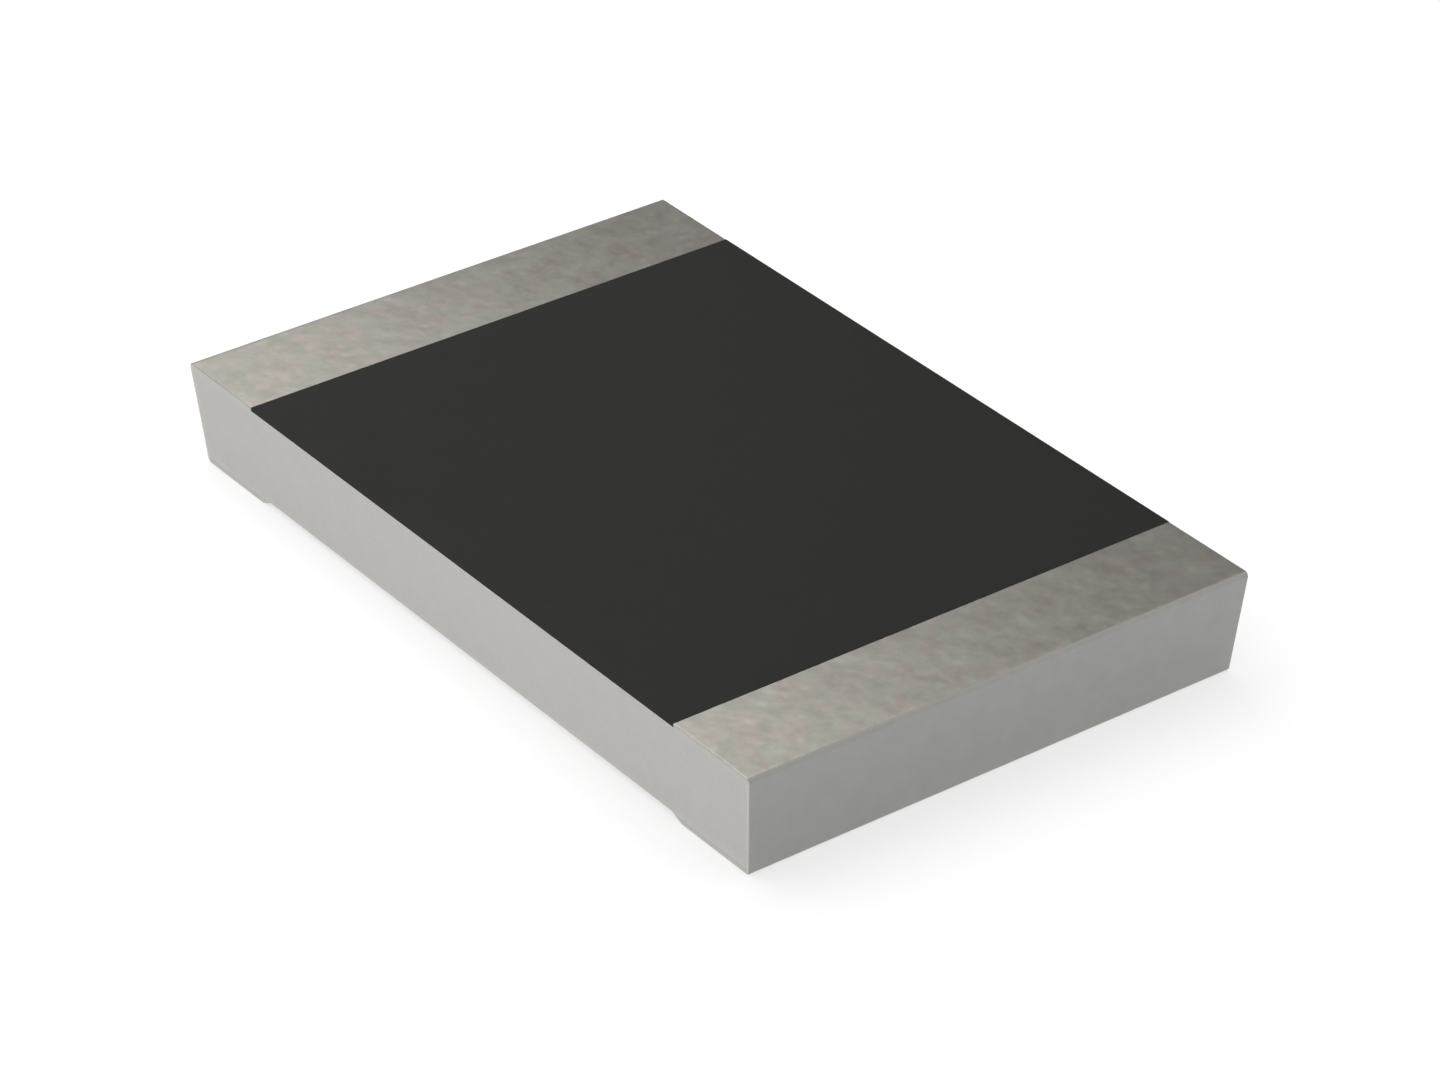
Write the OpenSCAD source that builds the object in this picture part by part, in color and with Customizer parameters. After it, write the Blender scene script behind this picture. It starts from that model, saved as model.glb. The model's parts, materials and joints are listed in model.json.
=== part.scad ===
// Thick film chip resistor for surface mounting, sizes in millimetres.
// A drafted ceramic chip carries printed electrodes, a laser trimmed
// resistive film under a glass coat and a dark overcoat, and at each end
// a wrap-around terminal of end electrode, nickel barrier and tin.
// X runs along the length, Y across the width, Z up from the solder face.

/* [Ceramic substrate] */
// Length of the ceramic along its upper face
substrate_length = 4.57; // [3.6:0.01:6.4]
// Width of the ceramic along its upper face
substrate_width = 2.85; // [2.3:0.05:4]
// Thickness of the ceramic
substrate_thickness = 0.5; // [0.35:0.01:0.8]
// Lean of the end walls, narrowing to the underside, in degrees
end_draft = 6.4; // [0:0.2:10]
// Lean of the long walls, narrowing to the underside, in degrees
side_draft = 4.1; // [0:0.1:8]
// Radius on the end edges before plating
edge_radius = 0.012; // [0.01:0.001:0.02]

/* [Terminals] */
// Length of each terminal along the top, from the chip's end
top_band = 0.565; // [0.35:0.005:0.9]
// Length of each terminal along the solder face, from the chip's end
bottom_band = 0.565; // [0.35:0.005:0.9]
// Feathering of the back electrode's inner edge, in degrees from upright
feather_angle = 65; // [0:1:75]
// Length of each upper electrode that runs on under the overcoat
electrode_lap = 0.25; // [0.2:0.01:0.4]
// Width of that run beyond each long edge of the film
tongue_lap = 0.1; // [0.02:0.01:0.18]

/* [Resistive film] */
// Length of film that lies on each upper electrode
film_overlap = 0.12; // [0.05:0.01:0.18]
// Bare ceramic left between the film and each long edge
film_margin = 0.3; // [0.2:0.01:0.5]
// Film left whole beside the trim cut
trim_bridge = 1.2; // [0.6:0.05:1.6]
// Length of the trim cut's leg along the film
trim_leg = 0.9; // [0.3:0.05:1.2]
// Width of the trim cut
trim_kerf = 0.05; // [0.03:0.005:0.1]

/* [Layer thicknesses] */
// Upper electrode
top_electrode_thickness = 0.008; // [0.006:0.001:0.015]
// Back electrode
back_electrode_thickness = 0.02; // [0.015:0.001:0.03]
// End electrode
end_electrode_thickness = 0.005; // [0.003:0.001:0.01]
// Nickel barrier
nickel_thickness = 0.005; // [0.003:0.001:0.01]
// Tin plating
tin_thickness = 0.007; // [0.004:0.001:0.015]
// Resistive film
film_thickness = 0.006; // [0.004:0.001:0.012]
// Glass coat over the film
glass_thickness = 0.005; // [0.003:0.001:0.012]
// Overcoat above the highest film
overcoat_thickness = 0.006; // [0.004:0.001:0.03]

/* [Hidden] */

// Plating grown on the printed electrodes
plating = nickel_thickness + tin_thickness;
// Heights of the ceramic's two faces and of the layers on the upper one
ceramic_bottom = back_electrode_thickness + plating;
ceramic_top = ceramic_bottom + substrate_thickness;
electrode_top = ceramic_top + top_electrode_thickness;
film_top = ceramic_top + film_thickness;
film_step_top = electrode_top + film_thickness;
glass_top = film_top + glass_thickness;
coat_top = max(glass_top, film_step_top) + overcoat_thickness;
tin_top = electrode_top + plating;
// Half lengths from the middle of the chip
chip_end = wall_x(tin_top, end_electrode_thickness + plating);
coat_end = chip_end - top_band;
electrode_start = coat_end - electrode_lap;
film_end = electrode_start + film_overlap;
riser_start = electrode_start - film_thickness;
pad_start = chip_end - bottom_band;
// Film sizes across the chip
film_width = substrate_width - 2 * film_margin;
tongue_width = film_width + 2 * tongue_lap;
trim_reach = film_width - trim_bridge;
// Room for the shapes that only limit others
reach = 2 * substrate_length;
arc_steps = 6;

// Distance of an end wall from the middle at a height, after it has grown
function wall_x(z, grown) =
    substrate_length / 2 - (ceramic_top - z) * tan(end_draft) + grown / cos(end_draft);

// Points of an arc about a centre
function arc(centre, radius, from, to) = [
    for (i = [0 : arc_steps])
        let (a = from + (to - from) * i / arc_steps)
            centre + radius * [cos(a), sin(a)]
];

// Rounded end from the upper face round to the lower one
function end_profile(top, bottom, grown, radius) =
    let (
        inset = radius / cos(end_draft),
        upper = [wall_x(top - radius, grown) - inset, top - radius],
        lower = [wall_x(bottom + radius, grown) - inset, bottom + radius]
    )
    concat(
        arc(upper, radius, 90, -end_draft),
        arc(lower, radius, -end_draft, -90)
    );

// Inner edge of the solder band, feathered towards the ceramic
function feather_x(z, grown) =
    let (
        run = (ceramic_bottom - z) * tan(feather_angle),
        outer_run = ceramic_bottom * tan(feather_angle),
        shrink = (plating - grown) / cos(feather_angle)
    )
    pad_start - outer_run + shrink + run;

// Section through one end with the layers grown on it so far
module wrap_section(grown, end_grown) {
    top = electrode_top + grown;
    bottom = ceramic_bottom - back_electrode_thickness - grown;
    polygon(concat(
        [[coat_end, top]],
        end_profile(top, bottom, end_grown, edge_radius + grown),
        [
            [feather_x(bottom, grown), bottom],
            [feather_x(ceramic_bottom, grown), ceramic_bottom],
            [coat_end, ceramic_bottom],
        ]
    ));
}

// Section through the whole ceramic with its printed electrodes
module printed_section() {
    bottom = ceramic_bottom - back_electrode_thickness;
    half = end_profile(electrode_top, bottom, 0, edge_radius);
    count = len(half);
    polygon(concat(
        half,
        [for (i = [0 : count - 1]) [-half[count - 1 - i][0], half[count - 1 - i][1]]]
    ));
}

// Lengthwise section carried across the width and cut to the long walls
module across_width() {
    half = substrate_width / 2;
    foot = half - ceramic_top * tan(side_draft);
    crown = half + ceramic_top * tan(side_draft);
    intersection() {
        rotate([90, 0, 0])
            linear_extrude(height = 2 * substrate_width, center = true)
                children();
        rotate([90, 0, 90])
            linear_extrude(height = reach, center = true)
                polygon([[-foot, 0], [foot, 0], [crown, 2 * ceramic_top], [-crown, 2 * ceramic_top]]);
    }
}

// Part of the printed section between two heights and beyond a distance
module printed_layer(start, low, high) {
    across_width()
        intersection() {
            printed_section();
            translate([start, low])
                square([reach, high - low]);
        }
}

module ceramic_substrate() {
    color([0.73, 0.72, 0.7])
        printed_layer(-reach / 2, ceramic_bottom, ceramic_top);
}

module back_electrode() {
    bottom = ceramic_bottom - back_electrode_thickness;
    across_width()
        intersection() {
            printed_section();
            polygon([
                [feather_x(ceramic_bottom, 0), ceramic_bottom],
                [feather_x(bottom, 0), bottom],
                [reach, bottom],
                [reach, ceramic_bottom],
            ]);
        }
}

module back_electrode_left() {
    color([0.78, 0.77, 0.74])
        mirror([1, 0, 0])
            back_electrode();
}

module back_electrode_right() {
    color([0.78, 0.77, 0.74])
        back_electrode();
}

// Plan of an upper electrode: full width under the plating, then a tongue
module electrode_plan() {
    side = tongue_width / 2;
    polygon([
        [electrode_start, -side],
        [coat_end, -side],
        [coat_end, -substrate_width],
        [reach, -substrate_width],
        [reach, substrate_width],
        [coat_end, substrate_width],
        [coat_end, side],
        [electrode_start, side],
    ]);
}

module top_electrode() {
    intersection() {
        printed_layer(0, ceramic_top, electrode_top);
        linear_extrude(height = 2 * ceramic_top)
            electrode_plan();
    }
}

module top_electrode_left() {
    color([0.78, 0.77, 0.74])
        mirror([1, 0, 0])
            top_electrode();
}

module top_electrode_right() {
    color([0.78, 0.77, 0.74])
        top_electrode();
}

// Cut from the front edge of the film and then along it
module trim_cut() {
    low = ceramic_top - film_thickness;
    high = glass_top + film_thickness;
    front = -substrate_width / 2;
    turn = -film_width / 2 + trim_reach;
    translate([-trim_leg / 2, front, low])
        cube([trim_kerf, turn - front, high - low]);
    translate([-trim_leg / 2, turn - trim_kerf, low])
        cube([trim_leg, trim_kerf, high - low]);
}

// Film that lies between the electrodes and steps up onto them
module whole_film() {
    rotate([90, 0, 0])
        linear_extrude(height = film_width, center = true)
            polygon([
                [-electrode_start, ceramic_top],
                [electrode_start, ceramic_top],
                [electrode_start, electrode_top],
                [film_end, electrode_top],
                [film_end, film_step_top],
                [riser_start, film_step_top],
                [riser_start, film_top],
                [-riser_start, film_top],
                [-riser_start, film_step_top],
                [-film_end, film_step_top],
                [-film_end, electrode_top],
                [-electrode_start, electrode_top],
            ]);
}

module resistive_film() {
    color([0.13, 0.12, 0.12])
        difference() {
            whole_film();
            trim_cut();
        }
}

module whole_glass() {
    translate([-riser_start, -film_width / 2, film_top])
        cube([2 * riser_start, film_width, glass_thickness]);
}

module glass_coat() {
    color([0.36, 0.42, 0.4])
        difference() {
            whole_glass();
            trim_cut();
        }
}

// Room under the overcoat for an electrode's tongue
module tongue_groove() {
    rotate([90, 0, 0])
        linear_extrude(height = tongue_width, center = true)
            polygon([
                [electrode_start, 0],
                [chip_end, 0],
                [chip_end, electrode_top],
                [electrode_start, electrode_top],
            ]);
}

// Room under the overcoat for the film and the glass, apart from the trim cut
module film_recess() {
    difference() {
        rotate([90, 0, 0])
            linear_extrude(height = film_width, center = true)
                polygon([
                    [-film_end, 0],
                    [film_end, 0],
                    [film_end, film_step_top],
                    [riser_start, film_step_top],
                    [riser_start, glass_top],
                    [-riser_start, glass_top],
                    [-riser_start, film_step_top],
                    [-film_end, film_step_top],
                ]);
        trim_cut();
    }
}

// Overcoat that fills the trim cut and stands level with the terminals
module overcoat() {
    color([0.196, 0.196, 0.188])
        difference() {
            across_width()
                translate([-coat_end, ceramic_top])
                    square([2 * coat_end, coat_top - ceramic_top]);
            tongue_groove();
            mirror([1, 0, 0])
                tongue_groove();
            film_recess();
        }
}

module end_electrode() {
    across_width()
        difference() {
            wrap_section(0, end_electrode_thickness);
            printed_section();
        }
}

module end_electrode_left() {
    color([0.62, 0.61, 0.6])
        mirror([1, 0, 0])
            end_electrode();
}

module end_electrode_right() {
    color([0.62, 0.61, 0.6])
        end_electrode();
}

module nickel_barrier() {
    across_width()
        difference() {
            wrap_section(nickel_thickness, end_electrode_thickness + nickel_thickness);
            wrap_section(0, end_electrode_thickness);
        }
}

module nickel_barrier_left() {
    color([0.7, 0.67, 0.61])
        mirror([1, 0, 0])
            nickel_barrier();
}

module nickel_barrier_right() {
    color([0.7, 0.67, 0.61])
        nickel_barrier();
}

module tin_plating() {
    across_width()
        difference() {
            wrap_section(plating, end_electrode_thickness + plating);
            wrap_section(nickel_thickness, end_electrode_thickness + nickel_thickness);
        }
}

module tin_plating_left() {
    color([0.6, 0.59, 0.565])
        mirror([1, 0, 0])
            tin_plating();
}

module tin_plating_right() {
    color([0.6, 0.59, 0.565])
        tin_plating();
}

ceramic_substrate();
back_electrode_left();
back_electrode_right();
top_electrode_left();
top_electrode_right();
resistive_film();
glass_coat();
overcoat();
end_electrode_left();
end_electrode_right();
nickel_barrier_left();
nickel_barrier_right();
tin_plating_left();
tin_plating_right();
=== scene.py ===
import json
import math

import bmesh
import bpy
from mathutils import Matrix, Vector, noise


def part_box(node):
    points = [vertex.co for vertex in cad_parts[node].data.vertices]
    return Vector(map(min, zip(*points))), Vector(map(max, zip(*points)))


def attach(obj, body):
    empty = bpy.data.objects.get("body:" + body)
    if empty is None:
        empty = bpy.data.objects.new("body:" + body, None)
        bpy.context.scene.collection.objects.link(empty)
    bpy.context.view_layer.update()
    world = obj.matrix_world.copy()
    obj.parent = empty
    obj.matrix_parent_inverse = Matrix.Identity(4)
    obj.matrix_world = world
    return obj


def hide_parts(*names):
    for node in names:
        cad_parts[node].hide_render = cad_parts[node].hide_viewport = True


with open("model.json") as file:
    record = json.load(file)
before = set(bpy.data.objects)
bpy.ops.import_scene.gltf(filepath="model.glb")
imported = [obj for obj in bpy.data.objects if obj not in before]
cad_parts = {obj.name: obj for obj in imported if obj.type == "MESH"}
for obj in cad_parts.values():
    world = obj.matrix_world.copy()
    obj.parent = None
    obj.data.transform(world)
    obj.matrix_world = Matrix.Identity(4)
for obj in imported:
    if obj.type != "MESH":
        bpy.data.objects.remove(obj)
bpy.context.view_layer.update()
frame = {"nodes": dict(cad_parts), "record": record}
mm = 0.001  # the object is a few millimetres long, so sizes below are written in millimetres
micrometre = 0.001 * mm
print("stage: frame loaded with", len(frame["nodes"]), "nodes")


def srgb(red, green, blue):
    # written as seen on screen, handed to the shaders as linear light
    def toLinear(channel):
        share = channel / 255
        return share / 12.92 if share <= 0.04045 else ((share + 0.055) / 1.055) ** 2.4
    return (toLinear(red), toLinear(green), toLinear(blue), 1.0)


def aimed(spot, direction):
    # the matrix of a camera or lamp at a place in mm that looks along a direction
    turn = Vector(direction).to_track_quat("-Z", "Y").to_matrix().to_4x4()
    return Matrix.Translation(Vector(spot) * mm) @ turn


# camera, solved from the corners of the photograph
viewpoint = {
    "spot": (18.146, -13.133, 13.783),  # mm
    "forward": (-0.68978, 0.50322, -0.52055),
    "roll": -0.439,  # degrees
    "lens": 137.1,  # mm
    "sensor": 36.0,  # mm
    "clip": (1.0, 1000.0),  # mm, nearest and farthest
}


def makeCamera():
    data = bpy.data.cameras.new("photoCamera")
    data.sensor_width = viewpoint["sensor"]
    data.lens = viewpoint["lens"]
    data.clip_start, data.clip_end = (distance * mm for distance in viewpoint["clip"])
    camera = bpy.data.objects.new("photoCamera", data)
    roll = Matrix.Rotation(math.radians(viewpoint["roll"]), 4, "Z")
    camera.matrix_world = aimed(viewpoint["spot"], viewpoint["forward"]) @ roll
    bpy.context.collection.objects.link(camera)
    bpy.context.scene.camera = camera


makeCamera()
bpy.context.scene.view_settings.view_transform = "Standard"
print("stage: camera set")


# node helpers
def newMaterial(name):
    material = bpy.data.materials.new(name)
    material.use_nodes = True
    tree = material.node_tree
    tree.nodes.clear()
    output = tree.nodes.new("ShaderNodeOutputMaterial")
    return material, tree, output


def addNode(tree, kind, **settings):
    node = tree.nodes.new(kind)
    for name, value in settings.items():
        setattr(node, name, value)
    return node


def feed(tree, socket, value):
    # value is a constant, or a socket to link from
    if isinstance(value, bpy.types.NodeSocket):
        tree.links.new(value, socket)
    else:
        socket.default_value = value


def feedAll(tree, node, values):
    for label, value in values.items():
        feed(tree, node.inputs[label], value)


def placeMath(tree, operation, *values):
    node = addNode(tree, "ShaderNodeMath", operation=operation)
    for socket, value in zip(node.inputs, values):
        feed(tree, socket, value)
    return node.outputs[0]


def placeRange(tree, value, span, result=(0.0, 1.0), easing="LINEAR"):
    node = addNode(tree, "ShaderNodeMapRange", interpolation_type=easing)
    feedAll(tree, node, {"Value": value, "From Min": span[0], "From Max": span[1],
                         "To Min": result[0], "To Max": result[1]})
    return node.outputs[0]


def placeBlend(tree, share, first, second, kind="MIX"):
    node = addNode(tree, "ShaderNodeMix", data_type="RGBA", blend_type=kind)
    live = {socket.name: socket for socket in node.inputs if socket.enabled}
    for label, value in (("Factor", share), ("A", first), ("B", second)):
        feed(tree, live[label], value)
    return next(socket for socket in node.outputs if socket.enabled)


def placeMirrored(tree, paths):
    # 1 for what metal and glass see, 0 for the rest
    return placeMath(tree, "MAXIMUM", paths.outputs["Is Glossy Ray"], paths.outputs["Is Transmission Ray"])


# studio: pale floor that turns white for the camera and keeps the shadow
floorLook = {
    "half": 400.0,  # mm
    "colour": (0.35, 0.35, 0.35, 1.0),
    "glow": 0.6,  # what the camera sees besides the lamps' light, low enough for the shadow to show
    "mirrorGlow": 0.85,  # what metal and glass see besides it
    "letThrough": 0.1,  # mm, soft light closer than this comes up from below, so the underside isn't black
}


def makeFloor():
    look = floorLook
    mesh = bpy.data.meshes.new("floor")
    shape = bmesh.new()
    bmesh.ops.create_grid(shape, x_segments=1, y_segments=1, size=look["half"] * mm)
    shape.to_mesh(mesh)
    shape.free()
    floor = bpy.data.objects.new("floor", mesh)
    bpy.context.collection.objects.link(floor)
    material, tree, output = newMaterial("paleFloor")
    paths = addNode(tree, "ShaderNodeLightPath")
    facing = addNode(tree, "ShaderNodeNewGeometry")
    diffuse = addNode(tree, "ShaderNodeBsdfDiffuse")
    glow = addNode(tree, "ShaderNodeEmission")
    lit = addNode(tree, "ShaderNodeAddShader")
    clear = addNode(tree, "ShaderNodeBsdfTransparent")
    mix = addNode(tree, "ShaderNodeMixShader")
    soft = placeMath(tree, "MAXIMUM", paths.outputs["Is Diffuse Ray"], paths.outputs["Is Shadow Ray"])
    close = placeMath(tree, "LESS_THAN", paths.outputs["Ray Length"], look["letThrough"] * mm)
    passing = placeMath(tree, "MULTIPLY", soft, close)
    openFloor = placeMath(tree, "MAXIMUM", facing.outputs["Backfacing"], passing)
    cameraGlow = placeMath(tree, "MULTIPLY", paths.outputs["Is Camera Ray"], look["glow"])
    mirrorGlow = placeMath(tree, "MULTIPLY", placeMirrored(tree, paths), look["mirrorGlow"])
    feed(tree, diffuse.inputs["Color"], look["colour"])
    feed(tree, glow.inputs["Strength"], placeMath(tree, "ADD", cameraGlow, mirrorGlow))
    link = tree.links.new
    link(diffuse.outputs[0], lit.inputs[0])
    link(glow.outputs[0], lit.inputs[1])
    link(openFloor, mix.inputs[0])
    link(lit.outputs[0], mix.inputs[1])
    link(clear.outputs[0], mix.inputs[2])
    link(mix.outputs[0], output.inputs["Surface"])
    mesh.materials.append(material)


worldLook = {
    "colour": (1.0, 1.0, 1.0, 1.0),
    "light": 0.5,  # what lights the object
    "horizon": 1.0,  # what the camera and reflections see low down
    "overhead": 0.37,  # and high up
    "fade": (0.0, 0.5),  # heights of the direction between which one gives way to the other
}


def makeWorld():
    look = worldLook
    world = bpy.data.worlds.new("studio")
    bpy.context.scene.world = world
    world.use_nodes = True
    tree = world.node_tree
    tree.nodes.clear()
    output = tree.nodes.new("ShaderNodeOutputWorld")
    paths = addNode(tree, "ShaderNodeLightPath")
    direction = addNode(tree, "ShaderNodeTexCoord")
    height = addNode(tree, "ShaderNodeSeparateXYZ")
    room = addNode(tree, "ShaderNodeBackground")
    backdrop = addNode(tree, "ShaderNodeBackground")
    mix = addNode(tree, "ShaderNodeMixShader")
    seenLevels = (look["horizon"], look["overhead"])
    feed(tree, height.inputs[0], direction.outputs["Generated"])
    sky = placeRange(tree, height.outputs["Z"], look["fade"], seenLevels, "SMOOTHSTEP")
    feedAll(tree, room, {"Color": look["colour"], "Strength": look["light"]})
    feedAll(tree, backdrop, {"Color": look["colour"], "Strength": sky})
    seen = placeMath(tree, "MAXIMUM", paths.outputs["Is Camera Ray"], placeMirrored(tree, paths))
    link = tree.links.new
    link(seen, mix.inputs[0])
    link(room.outputs[0], mix.inputs[1])
    link(backdrop.outputs[0], mix.inputs[2])
    link(mix.outputs[0], output.inputs["Surface"])


lamps = {  # place and aim in mm, width and height in mm, power in milliwatts
    "topSoftbox": {
        "spot": (-3.95, -0.7, 7.15), "aim": (-0.45, 1.55, 0.55), "size": (14.2, 8.4), "power": 0.72,
    },
    "sideSoftbox": {
        "spot": (8.5, -18.0, 7.5), "aim": (0, 0, 0.2), "size": (36, 14), "power": 2.15,
    },
    "rightFill": {
        "spot": (6.0, 6.2, 8.5), "aim": (2.0, 0.3, 0.55), "size": (22, 18), "power": 0.88,
    },
}
milliwatt = 0.001


def makeLamps():
    for name, lamp in lamps.items():
        data = bpy.data.lights.new(name, "AREA")
        data.shape = "RECTANGLE"
        data.size, data.size_y = (length * mm for length in lamp["size"])
        data.energy = lamp["power"] * milliwatt
        light = bpy.data.objects.new(name, data)
        light.matrix_world = aimed(lamp["spot"], Vector(lamp["aim"]) - Vector(lamp["spot"]))
        bpy.context.collection.objects.link(light)


makeFloor()
makeWorld()
makeLamps()
print("stage: floor, world and lamps made")


# shared effects, each a group that several finishes place with their own values
def newGroup(name, inputs, outputs):
    group = bpy.data.node_groups.new(name, "ShaderNodeTree")
    for label, value in inputs.items():
        socket = group.interface.new_socket(label, in_out="INPUT", socket_type="NodeSocketFloat")
        socket.default_value = value
    for label in outputs:
        group.interface.new_socket(label, in_out="OUTPUT", socket_type="NodeSocketFloat")
    source = group.nodes.new("NodeGroupInput")
    sink = group.nodes.new("NodeGroupOutput")
    return group, source.outputs, sink.inputs


def millimetreCoords(tree):
    coords = addNode(tree, "ShaderNodeTexCoord")
    scale = addNode(tree, "ShaderNodeMapping")
    feedAll(tree, scale, {"Vector": coords.outputs["Object"], "Scale": (1 / mm, 1 / mm, 1 / mm)})
    return scale.outputs["Vector"]


grainShape = {
    "patches": {"Detail": 3.0, "Roughness": 0.55, "Distortion": 0.4},
    "grains": {"Detail": 2.0, "Roughness": 0.6},
    "span": (0.3, 0.7),  # nearly all values of patches and grain lie here, about 0.5 on average
    "narrowSpan": (0.35, 0.65),  # and the middle ones here
}


def makeGrainGroup():
    # cloudy patches, a finer grain, and the two together
    inputs = {"Patches per mm": 14.0, "Grains per mm": 55.0, "Grain Share": 0.4}
    group, source, sink = newGroup("patchyGrain", inputs, ("Patches", "Grain", "Both"))
    place = millimetreCoords(group)
    patches = addNode(group, "ShaderNodeTexNoise")
    grains = addNode(group, "ShaderNodeTexNoise")
    both = addNode(group, "ShaderNodeMix", data_type="FLOAT")
    feedAll(group, patches, {"Vector": place, "Scale": source["Patches per mm"], **grainShape["patches"]})
    feedAll(group, grains, {"Vector": place, "Scale": source["Grains per mm"], **grainShape["grains"]})
    feedAll(group, both, {"Factor": source["Grain Share"], "A": patches.outputs[0], "B": grains.outputs[0]})
    for label, node in (("Patches", patches), ("Grain", grains), ("Both", both)):
        feed(group, sink[label], node.outputs[0])
    return group


def makeFleckGroup():
    # sparse round flecks: one in each cell of a random field whose draw is below the share
    inputs = {"Cells per mm": 12.0, "Share": 0.1, "Radius": 0.25}
    group, source, sink = newGroup("flecks", inputs, ("Mask",))
    cells = addNode(group, "ShaderNodeTexVoronoi")
    draw = addNode(group, "ShaderNodeSeparateColor")
    feedAll(group, cells, {"Vector": millimetreCoords(group), "Scale": source["Cells per mm"]})
    feed(group, draw.inputs[0], cells.outputs["Color"])
    chosen = placeMath(group, "LESS_THAN", draw.outputs["Red"], source["Share"])
    inside = placeRange(group, cells.outputs["Distance"], (0.0, source["Radius"]), (1.0, 0.0), "SMOOTHSTEP")
    feed(group, sink["Mask"], placeMath(group, "MULTIPLY", chosen, inside))
    return group


grainGroup = makeGrainGroup()
fleckGroup = makeFleckGroup()


def placeGroup(tree, group, values):
    node = addNode(tree, "ShaderNodeGroup", node_tree=group)
    feedAll(tree, node, values)
    return node.outputs


def placeSkin(tree, output, look, colour, roughness, height):
    skin = addNode(tree, "ShaderNodeBsdfPrincipled")
    bump = addNode(tree, "ShaderNodeBump")
    feedAll(tree, bump, {"Strength": 1.0, "Distance": look["relief"] * micrometre, "Height": height})
    feedAll(tree, skin, {"Metallic": look["metallic"], "Specular IOR Level": look["specular"],
                         "Base Color": colour, "Roughness": roughness, "Normal": bump.outputs[0]})
    feed(tree, output.inputs["Surface"], skin.outputs[0])


# tin: matte plate, mottled over the printed electrodes and smoother on the end wall
tinLook = {
    "bandDark": srgb(134, 131, 125), "bandPale": srgb(147, 144, 138),
    "wallDark": srgb(134, 135, 132), "wallPale": srgb(138, 139, 136),
    "warm": (1.065, 0.967, 0.977, 1), "cool": (0.94, 1.035, 0.985, 1),  # tints that drift over the band
    # the glint colour is painted highlights: pale specks that stand in for the tin's sparkle
    "pit": srgb(96, 93, 88), "paintedGlint": srgb(196, 192, 180),
    "pitShare": 0.12, "paintedGlintShare": 0.12,  # how much of their colour shows
    "bendLight": srgb(147, 145, 141),  # painted light: brighter where the tin turns over the end, evening out the darker sky reflected on the rounded edge
    "cutEdge": srgb(145, 144, 141), "cutBendLight": srgb(160, 158, 154),  # rim along the chip's long sides; the second is painted light on its rounded edge
    "metallic": 1.0, "specular": 0.5, "roughness": (0.3, 0.4),
    "relief": 0.55,  # micrometres
    "wallRelief": 0.3,  # share of the relief left on the end wall
    "ragged": 0.2,  # how unevenly the band gives way to the wall round the edge
    "grain": {"Patches per mm": 10.0, "Grains per mm": 40.0, "Grain Share": 0.2},
    "drift": {"Patches per mm": 7.0, "Grains per mm": 22.0, "Grain Share": 0.4},
    "pits": {"Cells per mm": 11.0, "Share": 0.4, "Radius": 0.4},
    "paintedGlints": {"Cells per mm": 11.5, "Share": 0.45, "Radius": 0.42},
}
tinTurns = {  # parts of a face's normal between which one look gives way to the next
    "wallToBand": (0.3, 0.8),  # level part
    "bendStart": (0.5, 0.85), "bendEnd": (0.94, 0.995),
    "rimBend": (0.1, 0.4), "rim": (0.6, 0.95),  # sideways part
}


def makeTin():
    material, tree, output = newMaterial("matteTin")
    look, turns = tinLook, tinTurns
    grain = placeGroup(tree, grainGroup, look["grain"])["Both"]
    drift = placeGroup(tree, grainGroup, look["drift"])["Both"]
    pits = placeGroup(tree, fleckGroup, look["pits"])["Mask"]
    paintedGlints = placeGroup(tree, fleckGroup, look["paintedGlints"])["Mask"]
    facing = addNode(tree, "ShaderNodeTexCoord")
    lean = addNode(tree, "ShaderNodeSeparateXYZ")
    feed(tree, lean.inputs[0], facing.outputs["Normal"])
    level = placeMath(tree, "ABSOLUTE", lean.outputs["Z"])
    sideways = placeMath(tree, "ABSOLUTE", lean.outputs["Y"])

    # band: mottled, tinted in drifts, with dark pits and painted glints, pale specks standing in for
    # highlights
    mottle = placeRange(tree, grain, grainShape["span"])
    tint = placeBlend(tree, placeRange(tree, drift, grainShape["narrowSpan"]), look["warm"], look["cool"])
    band = placeBlend(tree, mottle, look["bandDark"], look["bandPale"])
    band = placeBlend(tree, 1.0, band, tint, "MULTIPLY")
    band = placeBlend(tree, placeMath(tree, "MULTIPLY", pits, look["pitShare"]), band, look["pit"])
    band = placeBlend(tree, placeMath(tree, "MULTIPLY", paintedGlints, look["paintedGlintShare"]), band, look["paintedGlint"])

    # plainer wall, with an uneven change over the rounded edge
    wall = placeBlend(tree, mottle, look["wallDark"], look["wallPale"])
    wander = placeRange(tree, drift, grainShape["narrowSpan"], (-look["ragged"], look["ragged"]))
    printed = placeRange(tree, placeMath(tree, "ADD", level, wander), turns["wallToBand"])
    colour = placeBlend(tree, printed, wall, band)

    # painted light on the rounded bends, and the cut rim
    rising = placeRange(tree, level, turns["bendStart"])
    falling = placeRange(tree, level, turns["bendEnd"], (1.0, 0.0))
    paintedBendLight = placeBlend(tree, placeRange(tree, sideways, turns["rimBend"]), look["bendLight"], look["cutBendLight"])
    colour = placeBlend(tree, placeMath(tree, "MULTIPLY", rising, falling), colour, paintedBendLight)
    colour = placeBlend(tree, placeRange(tree, sideways, turns["rim"]), colour, look["cutEdge"])

    roughness = placeRange(tree, drift, grainShape["span"], look["roughness"])
    reliefShare = placeRange(tree, printed, (0.0, 1.0), (look["wallRelief"], 1.0))
    placeSkin(tree, output, look, colour, roughness, placeMath(tree, "MULTIPLY", grain, reliefShare))
    return material


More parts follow.
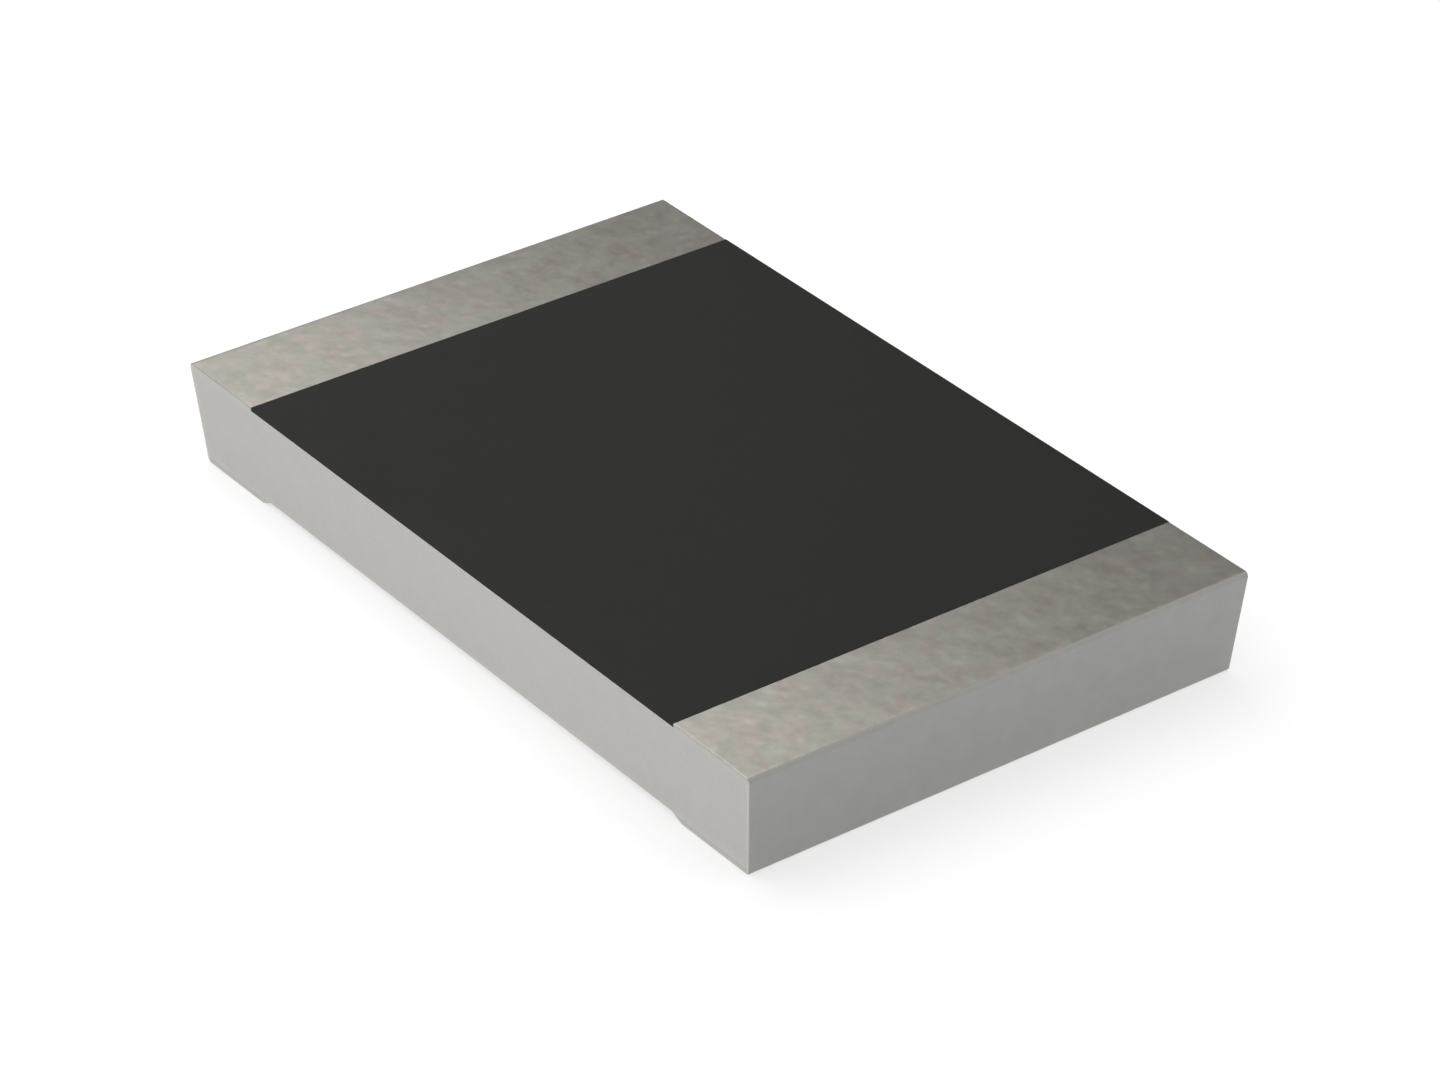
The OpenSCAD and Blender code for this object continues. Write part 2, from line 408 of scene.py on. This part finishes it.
# the other finishes: a grain between two tones, with flecks where the look has them
def makePlainFinish(name, look):
    material, tree, output = newMaterial(name)
    grain = placeGroup(tree, grainGroup, look["grain"])
    mottle = placeRange(tree, grain["Both"], grainShape["span"])
    colour = placeBlend(tree, mottle, look["dark"], look["pale"])
    if "flecks" in look:
        flecks = placeGroup(tree, fleckGroup, look["flecks"])
        share = placeMath(tree, "MULTIPLY", flecks["Mask"], look["fleckShare"])
        colour = placeBlend(tree, share, colour, look["fleck"])
    roughness = placeRange(tree, grain["Patches"], grainShape["span"], look["roughness"])
    placeSkin(tree, output, look, colour, roughness, grain["Grain"])
    return material


# alumina: pale fired ceramic with a fine grain
aluminaLook = {
    "dark": srgb(188, 186, 182), "pale": srgb(196, 194, 190),
    "fleck": srgb(170, 167, 161), "fleckShare": 0.35,
    "metallic": 0.0, "specular": 0.3, "roughness": (0.68, 0.8), "relief": 1.2,
    "grain": {"Patches per mm": 9.0, "Grains per mm": 90.0, "Grain Share": 0.5},
    "flecks": {"Cells per mm": 14.0, "Share": 0.08, "Radius": 0.16},
}

# overcoat: dark cured resin with fine filler
coatLook = {
    "dark": srgb(29, 29, 27), "pale": srgb(32, 32, 30),
    "fleck": srgb(44, 44, 41), "fleckShare": 0.3,
    "metallic": 0.0, "specular": 0.07, "roughness": (0.58, 0.65), "relief": 0.8,
    "grain": {"Patches per mm": 4.0, "Grains per mm": 70.0, "Grain Share": 0.5},
    "flecks": {"Cells per mm": 30.0, "Share": 0.15, "Radius": 0.3},
}

# inner layers: the edges of the metal ones show as thin lines on the long sides
layerLooks = {
    "silver_paste": {
        "dark": srgb(168, 167, 163), "pale": srgb(178, 177, 173),
        "metallic": 0.5, "specular": 0.5, "roughness": (0.5, 0.65), "relief": 1.0,
        "grain": {"Patches per mm": 20.0, "Grains per mm": 80.0, "Grain Share": 0.5},
    },
    "nickel_chrome": {
        "dark": srgb(170, 168, 163), "pale": srgb(182, 180, 175),
        "metallic": 1.0, "specular": 0.5, "roughness": (0.4, 0.5), "relief": 0.3,
        "grain": {"Patches per mm": 8.0, "Grains per mm": 60.0, "Grain Share": 0.5},
    },
    "nickel": {
        "dark": srgb(172, 168, 160), "pale": srgb(184, 180, 171),
        "metallic": 1.0, "specular": 0.5, "roughness": (0.34, 0.46), "relief": 0.5,
        "grain": {"Patches per mm": 12.0, "Grains per mm": 60.0, "Grain Share": 0.5},
    },
    "resistor_film": {
        "dark": srgb(30, 28, 28), "pale": srgb(40, 38, 37),
        "metallic": 0.0, "specular": 0.4, "roughness": (0.5, 0.65), "relief": 0.8,
        "grain": {"Patches per mm": 10.0, "Grains per mm": 70.0, "Grain Share": 0.5},
    },
    "glass_glaze": {
        "dark": srgb(84, 98, 94), "pale": srgb(98, 112, 108),
        "metallic": 0.0, "specular": 0.5, "roughness": (0.15, 0.25), "relief": 0.3,
        "grain": {"Patches per mm": 6.0, "Grains per mm": 40.0, "Grain Share": 0.5},
    },
}

finishes = {name: makePlainFinish(name, look) for name, look in layerLooks.items()}
finishes["tin"] = makeTin()
finishes["alumina"] = makePlainFinish("alumina", aluminaLook)
finishes["overcoat"] = makePlainFinish("darkOvercoat", coatLook)
slots = {part["node"]: part["material_slot"] for part in frame["record"]["subparts"]}
for node, slot in slots.items():
    solid = frame["nodes"][node]
    solid.data.materials.clear()
    solid.data.materials.append(finishes[slot])
print("stage: finishes made and placed on the nodes")


# the visible solids again as finished pieces: the same form with eased edges
pieceRules = {
    "mergeGap": 0.0001,  # mm, points closer than this are one
    "flatAngle": 0.5,  # degrees, flatter joins are one face
    "smoothAngle": 40.0,  # degrees, steeper joins stay sharp
    "longEdge": 1.0,  # mm, an edge along a whole side is longer
    "straight": 0.999,  # share of an edge's length that lies along its axis
}
alongX, acrossY = 0, 1
mergeGap = pieceRules["mergeGap"] * mm


def copySolid(node):
    shape = bmesh.new()
    shape.from_mesh(frame["nodes"][node].data)
    bmesh.ops.remove_doubles(shape, verts=shape.verts, dist=mergeGap)
    flat = math.radians(pieceRules["flatAngle"])
    bmesh.ops.dissolve_limit(shape, angle_limit=flat, verts=shape.verts, edges=shape.edges)
    for edge in shape.edges:
        edge.smooth = True
    shape.normal_update()
    return shape


def easeEdges(shape, edges, width, segments):
    bmesh.ops.bevel(shape, geom=edges, offset=width * mm, offset_type="OFFSET", affect="EDGES",
                    segments=segments, profile=0.5, material=-1)
    shape.normal_update()


def runsAlong(edge, axis, shortest=pieceRules["longEdge"]):
    run = edge.verts[1].co - edge.verts[0].co
    return run.length > shortest * mm and abs(run[axis]) > pieceRules["straight"] * run.length


def finishPiece(name, shape, node):
    steep = math.radians(pieceRules["smoothAngle"])
    for face in shape.faces:
        face.smooth = True
    for edge in shape.edges:
        edge.smooth = edge.smooth and edge.calc_face_angle() < steep
    mesh = bpy.data.meshes.new(name)
    shape.to_mesh(mesh)
    shape.free()
    mesh.materials.append(finishes[slots[node]])
    piece = bpy.data.objects.new(name, mesh)
    bpy.context.collection.objects.link(piece)
    normals = piece.modifiers.new("evenNormals", "WEIGHTED_NORMAL")
    normals.keep_sharp = True
    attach(piece, "root")
    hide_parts(node)


# terminals: rounded along the cut sides, lumpy over the printed electrodes
terminalShape = {
    "ease": 0.004,  # mm
    "easeSegments": 3,
    "sideTurn": 0.98,  # a face whose normal is more sideways than this is a cut side
    "coatTurn": 0.99,  # and more along the chip than this, the face that meets the coat
    "bandEdge": 0.3,  # mm, edges along a band are longer
    "bandDepth": 1.2,  # in eases, how far from the top or the foot those edges lie
    "step": 0.0125,  # mm between points of the lumpy skin
    "hollow": 0.001,  # mm, depth of the hollows
    "lumpsPerMm": 14.0,
    "lumpNoise": (0.7, 2.1, 3),  # roughness, scale between octaves and octaves
    "lumpMiddle": 0.5, "lumpSwing": 0.6,  # share of the depth
    "edgeReach": 0.03,  # mm, how far from the top or the foot the lumps go
    "edgeFade": (0.15, 0.75),  # level part of the normal between which they set in
}


def clamp(share):
    return min(1, max(0, share))


def cutsFor(length):
    return round(length / (terminalShape["step"] * mm)) - 1


def makeTerminal(name, node):
    look = terminalShape
    shape = copySolid(node)
    low, high = (Vector(corner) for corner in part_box(node))
    middle = (low + high) / 2
    towardsCoat = -1 if middle.x > 0 else 1

    def isSide(face):
        return abs(face.normal.y) > look["sideTurn"]

    def isSkin(face):
        away = face.calc_center_median() - middle
        away.y = 0
        meetsCoat = face.normal.x * towardsCoat > look["coatTurn"]
        return face.normal.dot(away) > 0 and not isSide(face) and not meetsCoat

    def isCutEdge(edge):
        faces = edge.link_faces
        return any(isSide(face) for face in faces) and any(isSkin(face) for face in faces)

    easeEdges(shape, [edge for edge in shape.edges if isCutEdge(edge)], look["ease"], look["easeSegments"])
    across = [edge for edge in shape.edges
              if runsAlong(edge, acrossY) and any(isSkin(face) for face in edge.link_faces)]
    bmesh.ops.subdivide_edges(shape, edges=across, cuts=cutsFor(high.y - low.y), use_grid_fill=True)
    bandDepth = look["bandDepth"] * look["ease"] * mm

    def isOnBand(edge):
        heights = [point.co.z for point in edge.verts]
        level = min(heights) > high.z - bandDepth or max(heights) < low.z + bandDepth
        return level and not any(isSide(face) for face in edge.link_faces)

    along = [edge for edge in shape.edges if runsAlong(edge, alongX, look["bandEdge"]) and isOnBand(edge)]
    bmesh.ops.subdivide_edges(shape, edges=along, cuts=cutsFor(along[0].calc_length()), use_grid_fill=True)
    crowded = [face for face in shape.faces if len(face.verts) > 4 and not isSide(face)]
    bmesh.ops.triangulate(shape, faces=crowded)
    shape.normal_update()
    reach = look["edgeReach"] * mm
    fadeStart, fadeEnd = look["edgeFade"]
    for point in shape.verts:
        facing = point.normal.z
        atTop = point.co.z > high.z - reach and facing > 0
        atFoot = point.co.z < low.z + reach and facing < 0
        if atTop or atFoot:
            fade = clamp((abs(facing) - fadeStart) / (fadeEnd - fadeStart))
            lump = noise.fractal(point.co / mm * look["lumpsPerMm"], *look["lumpNoise"])
            depth = fade * look["hollow"] * mm * clamp(look["lumpMiddle"] + look["lumpSwing"] * lump)
            point.co.z -= depth if atTop else -depth
    finishPiece(name, shape, node)


makeTerminal("tinTerminalLeft", "tin_plating_left")
makeTerminal("tinTerminalRight", "tin_plating_right")


# overcoat: soft long edges, and ends that meet the tin
coatShape = {
    "ease": 0.008,  # mm, long edges
    "endEase": 0.002,  # mm, at the tin
    "segments": 5,
}


def makeOvercoat(name, node):
    look = coatShape
    shape = copySolid(node)
    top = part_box(node)[1][2]

    def topEdges(axis):
        return [edge for edge in shape.edges
                if runsAlong(edge, axis) and all(point.co.z > top - mergeGap for point in edge.verts)]

    easeEdges(shape, topEdges(acrossY), look["endEase"], look["segments"])
    easeEdges(shape, topEdges(alongX), look["ease"], look["segments"])
    finishPiece(name, shape, node)


makeOvercoat("resinOvercoat", "overcoat")


# chip: lower long edges eased where they are bare between the solder pads
chipShape = {
    "ease": 0.008,  # mm
    "segments": 5,
}


def makeChip(name, node):
    look = chipShape
    shape = copySolid(node)
    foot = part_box(node)[0][2]
    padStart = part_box("tin_plating_right")[0][0]
    for side in (-1, 1):
        bmesh.ops.bisect_plane(shape, geom=shape.verts[:] + shape.edges[:] + shape.faces[:],
                               plane_co=(side * padStart, 0, 0), plane_no=(1, 0, 0))

    def isBareEdge(edge):
        bare = all(abs(point.co.x) < padStart + mergeGap for point in edge.verts)
        low = all(point.co.z < foot + mergeGap for point in edge.verts)
        return bare and low and runsAlong(edge, alongX)

    easeEdges(shape, [edge for edge in shape.edges if isBareEdge(edge)], look["ease"], look["segments"])
    for edge in shape.edges:
        edge.smooth = runsAlong(edge, alongX)  # the easing shades as round, its ends stay crisp
    finishPiece(name, shape, node)


makeChip("aluminaChip", "ceramic_substrate")
print("stage: finished pieces made")
